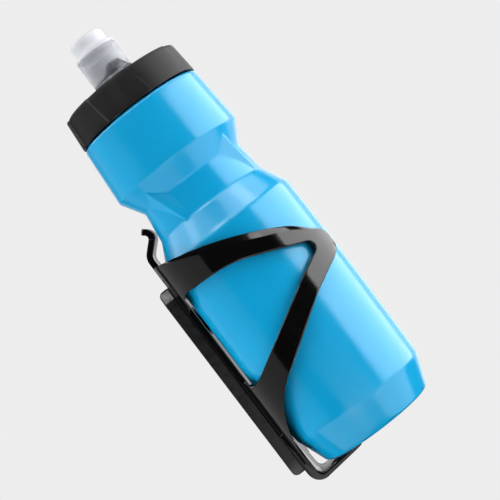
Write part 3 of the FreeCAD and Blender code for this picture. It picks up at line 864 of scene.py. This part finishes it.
def arm_shell():
    """Both arms. Each ring goes round the wall: outer face, window's edge, inner face, outer edge."""
    outer, inner = arm_edges()
    step = inner - outer
    width = np.hypot(step[:, 0] * MM_PER_DEGREE, step[:, 1])
    wall = ARM_OUTER - ARM_INNER
    growth = np.clip((outer[:, 0] - BEVEL_GROWTH[0]) / BEVEL_GROWTH[1], BEVEL_LEAST, 1)
    fade_out = smooth_step(*BEVEL_FADE_OUT, np.arange(len(outer)))
    fade = smooth_step(*BEVEL_FADE_IN, outer[:, 0]) * (1 - fade_out)
    bevel = growth * fade * BEVEL_DROP
    section = [(d / width, drop / wall + bevel / wall) for d, drop in UPPER_CORNER]
    for mark in BEVEL_MARKS:
        d = BEVEL_INSET + BEVEL_WIDTH * growth * mark
        corner = BEVEL_CORNER if mark == 0 else 0.0
        section.append((d / width, bevel * max(1 - mark, 0.0) / wall + corner / wall))
    bevel_end = BEVEL_INSET + BEVEL_WIDTH * BEVEL_MARKS[-1] * growth
    plain = width - bevel_end - WINDOW_CORNER_OUTSIDE[0][0]
    section += [((bevel_end + plain * share) / width, 0.0) for share in (0.2, 0.4, 0.6, 0.8)]
    section += [(1 - d / width, drop / wall) for d, drop in WINDOW_CORNER_OUTSIDE]
    section += [(1 - d / width, 1 - lift / wall) for d, lift in CORNER_INSIDE]
    section += [(share, 1.0) for share in (0.75, 0.5, 0.25)]
    section += [(d / width, 1 - lift / wall) for d, lift in reversed(CORNER_INSIDE)]
    rings = []
    for share, depth in section:
        place_on = outer + step * np.broadcast_to(share, width.shape)[:, None]
        rings.append(on_arm(place_on[:, 0], place_on[:, 1], np.broadcast_to(depth, width.shape)))
    points, faces = capped(np.stack(rings, 1))
    return [(points, faces), (points * np.array([1.0, -1.0, 1.0]), faces)]


def stadium(width, length, low_x, high_x, middle_z):
    """A closed block with round ends, to cut a slot along X."""
    half, straight = width / 2, (length - width) / 2
    steps = 32
    loop = []
    for start, end_z in ((0, middle_z + straight), (math.pi, middle_z - straight)):
        for n in range(steps + 1):
            a = start + math.pi * n / steps
            loop.append((half * math.cos(a), end_z + half * math.sin(a)))
    return capped([[(x, y, z) for y, z in loop] for x in (low_x, high_x)])


def spine_shell():
    """The back plate of the cage."""
    loop = rounded([
        (SPINE_BACK, -SPINE_HALF_WIDTH, 0.5), (SPINE_FRONT, -SPINE_HALF_WIDTH, 0.4),
        (SPINE_FRONT, SPINE_HALF_WIDTH, 0.4), (SPINE_BACK, SPINE_HALF_WIDTH, 0.5),
    ], every(1.5), closed=True, arc_step=15)
    heights = np.linspace(*SPINE_HEIGHTS, 37)
    return capped([np.column_stack([loop, np.full(len(loop), z)]) for z in heights])


SLOT_MIDDLES = (25.5, 89.5)
SLOT_SIZE = (5.4, 12.0)
HEAD_ROOM_SIZE = (10.2, 16.8)
FOOT_HALF_WIDTH = 12.5
foot = slab([
    (-40.25, 24.0, 0), (-40.25, 2.0, 14.0), (-39.2, -5.9, 6.5), (-14.0, -2.9, 0), (-11.0, -2.4, 0.8),
    (-11.0, -0.5, 0.7), (-27.0, -1.5, 20.0), (-35.4, -2.2, 3.0), (-36.2, 12.0, 20.0), (-37.65, 24.0, 0),
], FOOT_HALF_WIDTH, 0.7, spacing=1.5)
openings = mesh_of("openings", [stadium(*HEAD_ROOM_SIZE, -42.0, -36.0, z) for z in SLOT_MIDDLES])
cage_mesh = mesh_of("cage_frame", arm_shell())
join = bmesh.new()
join.from_mesh(cage_mesh)
for shell in (spine_shell(), foot):
    join.from_mesh(cut(mesh_of("plate", [shell]), openings))
join.to_mesh(cage_mesh)
join.free()
piece("cage_frame", cage_mesh, "cage", ["cage_body"], CAGE_MATERIAL, sharp=34)

TAB_MIDDLE = rounded([
    (-38.8, 115.0, 0), (-38.8, 128.6, 6.0), (-29.9, 137.2, 3.4), (-33.6, 140.2, 0),
], every(0.8), arc_step=8)
TAB_HALF_THICKNESS = 1.6
TAB_HALF_WIDTH = 7.0
TAB_EDGE = 0.45
TAB_TIP_LENGTH = 0.9
TAB_TIP_THINNING = 0.35
TAB_TIP_NARROWING = 0.12


def tab_shell():
    """A bent strip with round edges, whose tip curls back and is rounded off."""
    ahead = np.gradient(TAB_MIDDLE, axis=0)
    ahead /= np.linalg.norm(ahead, axis=1)[:, None]
    across = np.column_stack([ahead[:, 1], -ahead[:, 0]])
    flat_thick, flat_wide = TAB_HALF_THICKNESS - TAB_EDGE, TAB_HALF_WIDTH - TAB_EDGE
    corner_steps, tip_steps = 5, 4
    section = []
    for thick_side, wide_side, start in ((1, 1, 0), (-1, 1, 90), (-1, -1, 180), (1, -1, 270)):
        for n in range(corner_steps + 1):
            a = math.radians(start + 90 / corner_steps * n)
            thick = thick_side * flat_thick + TAB_EDGE * math.cos(a)
            wide = wide_side * flat_wide + TAB_EDGE * math.sin(a)
            section.append((thick, wide))
    thick, wide = np.array(section).T

    def ring(centre, normal, thinned, narrowed):
        """The strip's section at a point of its middle line."""
        offset = normal[:, None] * thick * thinned
        return np.column_stack([centre[0] + offset[0], wide * narrowed, centre[1] + offset[1]])

    rings = [ring(point, normal, 1.0, 1.0) for point, normal in zip(TAB_MIDDLE, across)]
    for n in range(1, tip_steps + 1):
        a = math.radians(90 * n / tip_steps)
        centre = TAB_MIDDLE[-1] + ahead[-1] * TAB_TIP_LENGTH * math.sin(a)
        thinned = 1 - TAB_TIP_THINNING * (1 - math.cos(a))
        narrowed = 1 - TAB_TIP_NARROWING * (1 - math.cos(a))
        rings.append(ring(centre, across[-1], thinned, narrowed))
    return capped(rings)


piece("cage_tab", mesh_of("cage_tab", [tab_shell()]), "cage", ["retention_tab"],
      CAGE_MATERIAL, sharp=45)


RAIL_LOW_Z = 3.0
RAIL_TOP_Z = 112.0
RAIL_BACK = -46.5
RAIL_FRONT = -40.25
RAIL_HALF_WIDTH = 7.5
RAIL_EDGE = 0.9
RAIL_END_ROUNDING = {"side": 0.9, "back": 2.6, "front": 1.0}
RAIL_END_GAPS = (0, 0.04, 0.15, 0.33, 0.6, 0.9, 1.3, 1.9, 2.6)
RAIL_PLAIN_Z = 6.5
RAIL_LEAN_HEIGHTS = (107.5, 108.6)

# The sides lean in above LEAN_START_Z, by LEAN_RATE of their width for each mm, and a little near the foot.
LEAN_START_Z = 106.0
LEAN_RATE = 0.36 / 7.5
LOW_LEAN = 0.12
LOW_LEAN_Z = (3, 8)


def rounding(gap, radius):
    """How far a rounded end has drawn in, at a distance from its very end."""
    return radius - math.sqrt(radius ** 2 - max(radius - gap, 0) ** 2)


def rail_shell():
    """The rail's bar, as cross-sections from its lower end up."""
    heights = [RAIL_LOW_Z + gap for gap in RAIL_END_GAPS]
    heights += [*np.linspace(RAIL_PLAIN_Z, LEAN_START_Z, 50), *RAIL_LEAN_HEIGHTS]
    heights += [RAIL_TOP_Z - gap for gap in reversed(RAIL_END_GAPS)]
    corner_steps = 8
    rings = []
    for z in heights:
        gap = min(z - RAIL_LOW_Z, RAIL_TOP_Z - z)
        low_lean = LOW_LEAN * (1 - float(smooth_step(*LOW_LEAN_Z, z)))
        lean = 1 - LEAN_RATE * max(z - LEAN_START_Z, 0) - low_lean
        side = RAIL_HALF_WIDTH * lean - rounding(gap, RAIL_END_ROUNDING["side"])
        low_x = RAIL_BACK + rounding(gap, RAIL_END_ROUNDING["back"])
        high_x = RAIL_FRONT - rounding(gap, RAIL_END_ROUNDING["front"])
        ring = []
        for x, y, start in ((high_x, side, 0), (low_x, side, 90), (low_x, -side, 180), (high_x, -side, 270)):
            corner = math.radians(start + 45)
            middle_x = x - RAIL_EDGE * math.copysign(1, math.cos(corner))
            middle_y = y - RAIL_EDGE * math.copysign(1, math.sin(corner))
            for n in range(corner_steps + 1):
                a = math.radians(start + 90 / corner_steps * n)
                ring.append((middle_x + RAIL_EDGE * math.cos(a), middle_y + RAIL_EDGE * math.sin(a), z))
        rings.append(ring)
    return capped(rings)


rail_mesh = mesh_of("rail_bar", [rail_shell()])
slots = [stadium(*SLOT_SIZE, -48.0, -39.0, z) for z in SLOT_MIDDLES]
head_room = [stadium(*HEAD_ROOM_SIZE, -43.2, -39.0, z) for z in SLOT_MIDDLES]
rail_mesh = cut(rail_mesh, mesh_of("slots", slots))
rail_mesh = cut(rail_mesh, mesh_of("head_room", head_room))
piece("rail_bar", rail_mesh, "cage", ["mounting_rail"], RAIL_MATERIAL, sharp=16)

for node, material in (
    ("cap_gasket", SEAL_MATERIAL),
    ("tower_o_ring", SEAL_MATERIAL),
    ("slit_membrane", TIP_MATERIAL),
):
    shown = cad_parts[node]
    shown.data.materials.clear()
    shown.data.materials.append(material)


# -------------------------------------------------------------- studio light

WATTS_PER_SQUARE_METRE = 4
LIGHT_TARGET = row_point(0, 0, 100)


def softbox(name, azimuth, elevation, distance, width, height, reflected, shed):
    """A rectangle of light that faces the bottle. Azimuth 0 is at -Y and 90 at +X.

    reflected is how bright it looks in a glossy surface, and shed how much it lights a matt one.
    """
    a, e = math.radians(azimuth), math.radians(elevation)
    away = Vector((math.sin(a) * math.cos(e), -math.cos(a) * math.cos(e), math.sin(e)))
    for kind, radiance in (("reflected", reflected), ("shed", shed)):
        if radiance == 0:
            continue
        data = bpy.data.lights.new(name + "_" + kind, "AREA")
        data.shape = "RECTANGLE"
        data.size = width
        data.size_y = height
        data.energy = radiance * WATTS_PER_SQUARE_METRE * width * height
        lamp = bpy.data.objects.new(name + "_" + kind, data)
        scene.collection.objects.link(lamp)
        lamp.location = LIGHT_TARGET + away * distance
        lamp.rotation_euler = away.to_track_quat("Z", "Y").to_euler()
        lamp.visible_camera = False
        lamp.visible_glossy = kind == "reflected"
        lamp.visible_diffuse = kind == "shed"
        data.cycles.use_multiple_importance_sampling = kind == "reflected"


# name, azimuth, elevation, distance, width, height, reflected, shed
softbox("key_right", 91, 0, 1.0, 1.8, 0.9, 3.65, 1.9)
softbox("fill_left", -92, 0, 1.1, 1.9, 1.4, 0.32, 0.0)
softbox("wash_left", -86, 0, 1.1, 1.8, 1.4, 0.0, 1.3)
softbox("wash_right", 60, 0, 1.2, 1.0, 1.0, 0.0, 0.7)
softbox("overhead", 0, 72, 1.2, 1.3, 1.0, 0.0, 1.0)
softbox("top_right", 48, 47, 1.2, 1.1, 0.5, 3.0, 0.9)
softbox("top_far_right", 94, 47, 1.2, 1.2, 0.5, 2.4, 0.9)
softbox("top_left", -41, 44, 1.2, 1.0, 0.55, 2.1, 0.5)
softbox("top_far_left", -91, 44, 1.2, 1.2, 0.6, 2.0, 0.5)
softbox("under_right", 70, -42, 0.8, 0.8, 0.5, 1.7, 1.3)
softbox("under_left", -50, -42, 0.8, 1.0, 0.5, 0.95, 1.4)
softbox("under_front", 6, -32, 0.8, 0.8, 0.6, 1.0, 0.25)
softbox("rim_right", 152, 0, 1.1, 0.8, 0.9, 0.75, 0.0)
softbox("rail_end", -6, 43, 1.2, 0.45, 0.35, 5.0, 0.0)

world = bpy.data.worlds.new("studio")
scene.world = world
world.use_nodes = True
sky = world.node_tree


def sky_light(colour):
    """An even light of one colour from all round."""
    made = sky.nodes.new("ShaderNodeBackground")
    made.inputs["Color"].default_value = colour
    return made.outputs[0]


def sky_choice(share, first, second):
    """The first light where share is 0 and the second where it's 1."""
    made = sky.nodes.new("ShaderNodeMixShader")
    sky.links.new(share, made.inputs[0])
    sky.links.new(first, made.inputs[1])
    sky.links.new(second, made.inputs[2])
    return made.outputs[0]


# Glossy surfaces mirror a dim room with a brighter wall behind the bottle. The camera sees a plain pale grey.
ray = sky.nodes.new("ShaderNodeLightPath").outputs
heading = sky.nodes.new("ShaderNodeSeparateXYZ")
sky.links.new(sky.nodes.new("ShaderNodeTexCoord").outputs["Generated"], heading.inputs[0])
behind = sky.nodes.new("ShaderNodeMapRange")
behind.inputs["From Min"].default_value = 0.8
behind.inputs["From Max"].default_value = 0.95
sky.links.new(heading.outputs["Y"], behind.inputs["Value"])
dim_room = sky_light((0.035, 0.035, 0.037, 1))
rear_wall = sky_light((0.55, 0.55, 0.55, 1))
mirrored = sky_choice(behind.outputs[0], dim_room, rear_wall)
seen = sky_choice(ray["Is Camera Ray"], mirrored, sky_light(linear(237, 237, 237)))
sky.links.new(seen, sky.nodes["World Output"].inputs["Surface"])

FLOOR_HALF = 1.6
floor_corners = [(x * FLOOR_HALF, y * FLOOR_HALF, 0) for x, y in ((-1, -1), (1, -1), (1, 1), (-1, 1))]
floor_mesh = bpy.data.meshes.new("floor")
floor_mesh.from_pydata(floor_corners, [], [(0, 1, 2, 3)])
floor = bpy.data.objects.new("floor", floor_mesh)
floor.location = (0.05, 0, -0.62)
scene.collection.objects.link(floor)
pale = Finish("floor_pale", Roughness=0.8, Emission_Color=linear(235, 235, 235), Emission_Strength=1.0)
pale.to(pale.colours(pale.noise(3, 2), linear(70, 70, 70), linear(84, 84, 84)), "Base Color")
floor_mesh.materials.append(pale.material)
# The floor is pale by its own light, and neither lights the bottle nor shows in its reflections.
floor.visible_diffuse = False
floor.visible_glossy = False

scene.view_settings.view_transform = "Standard"
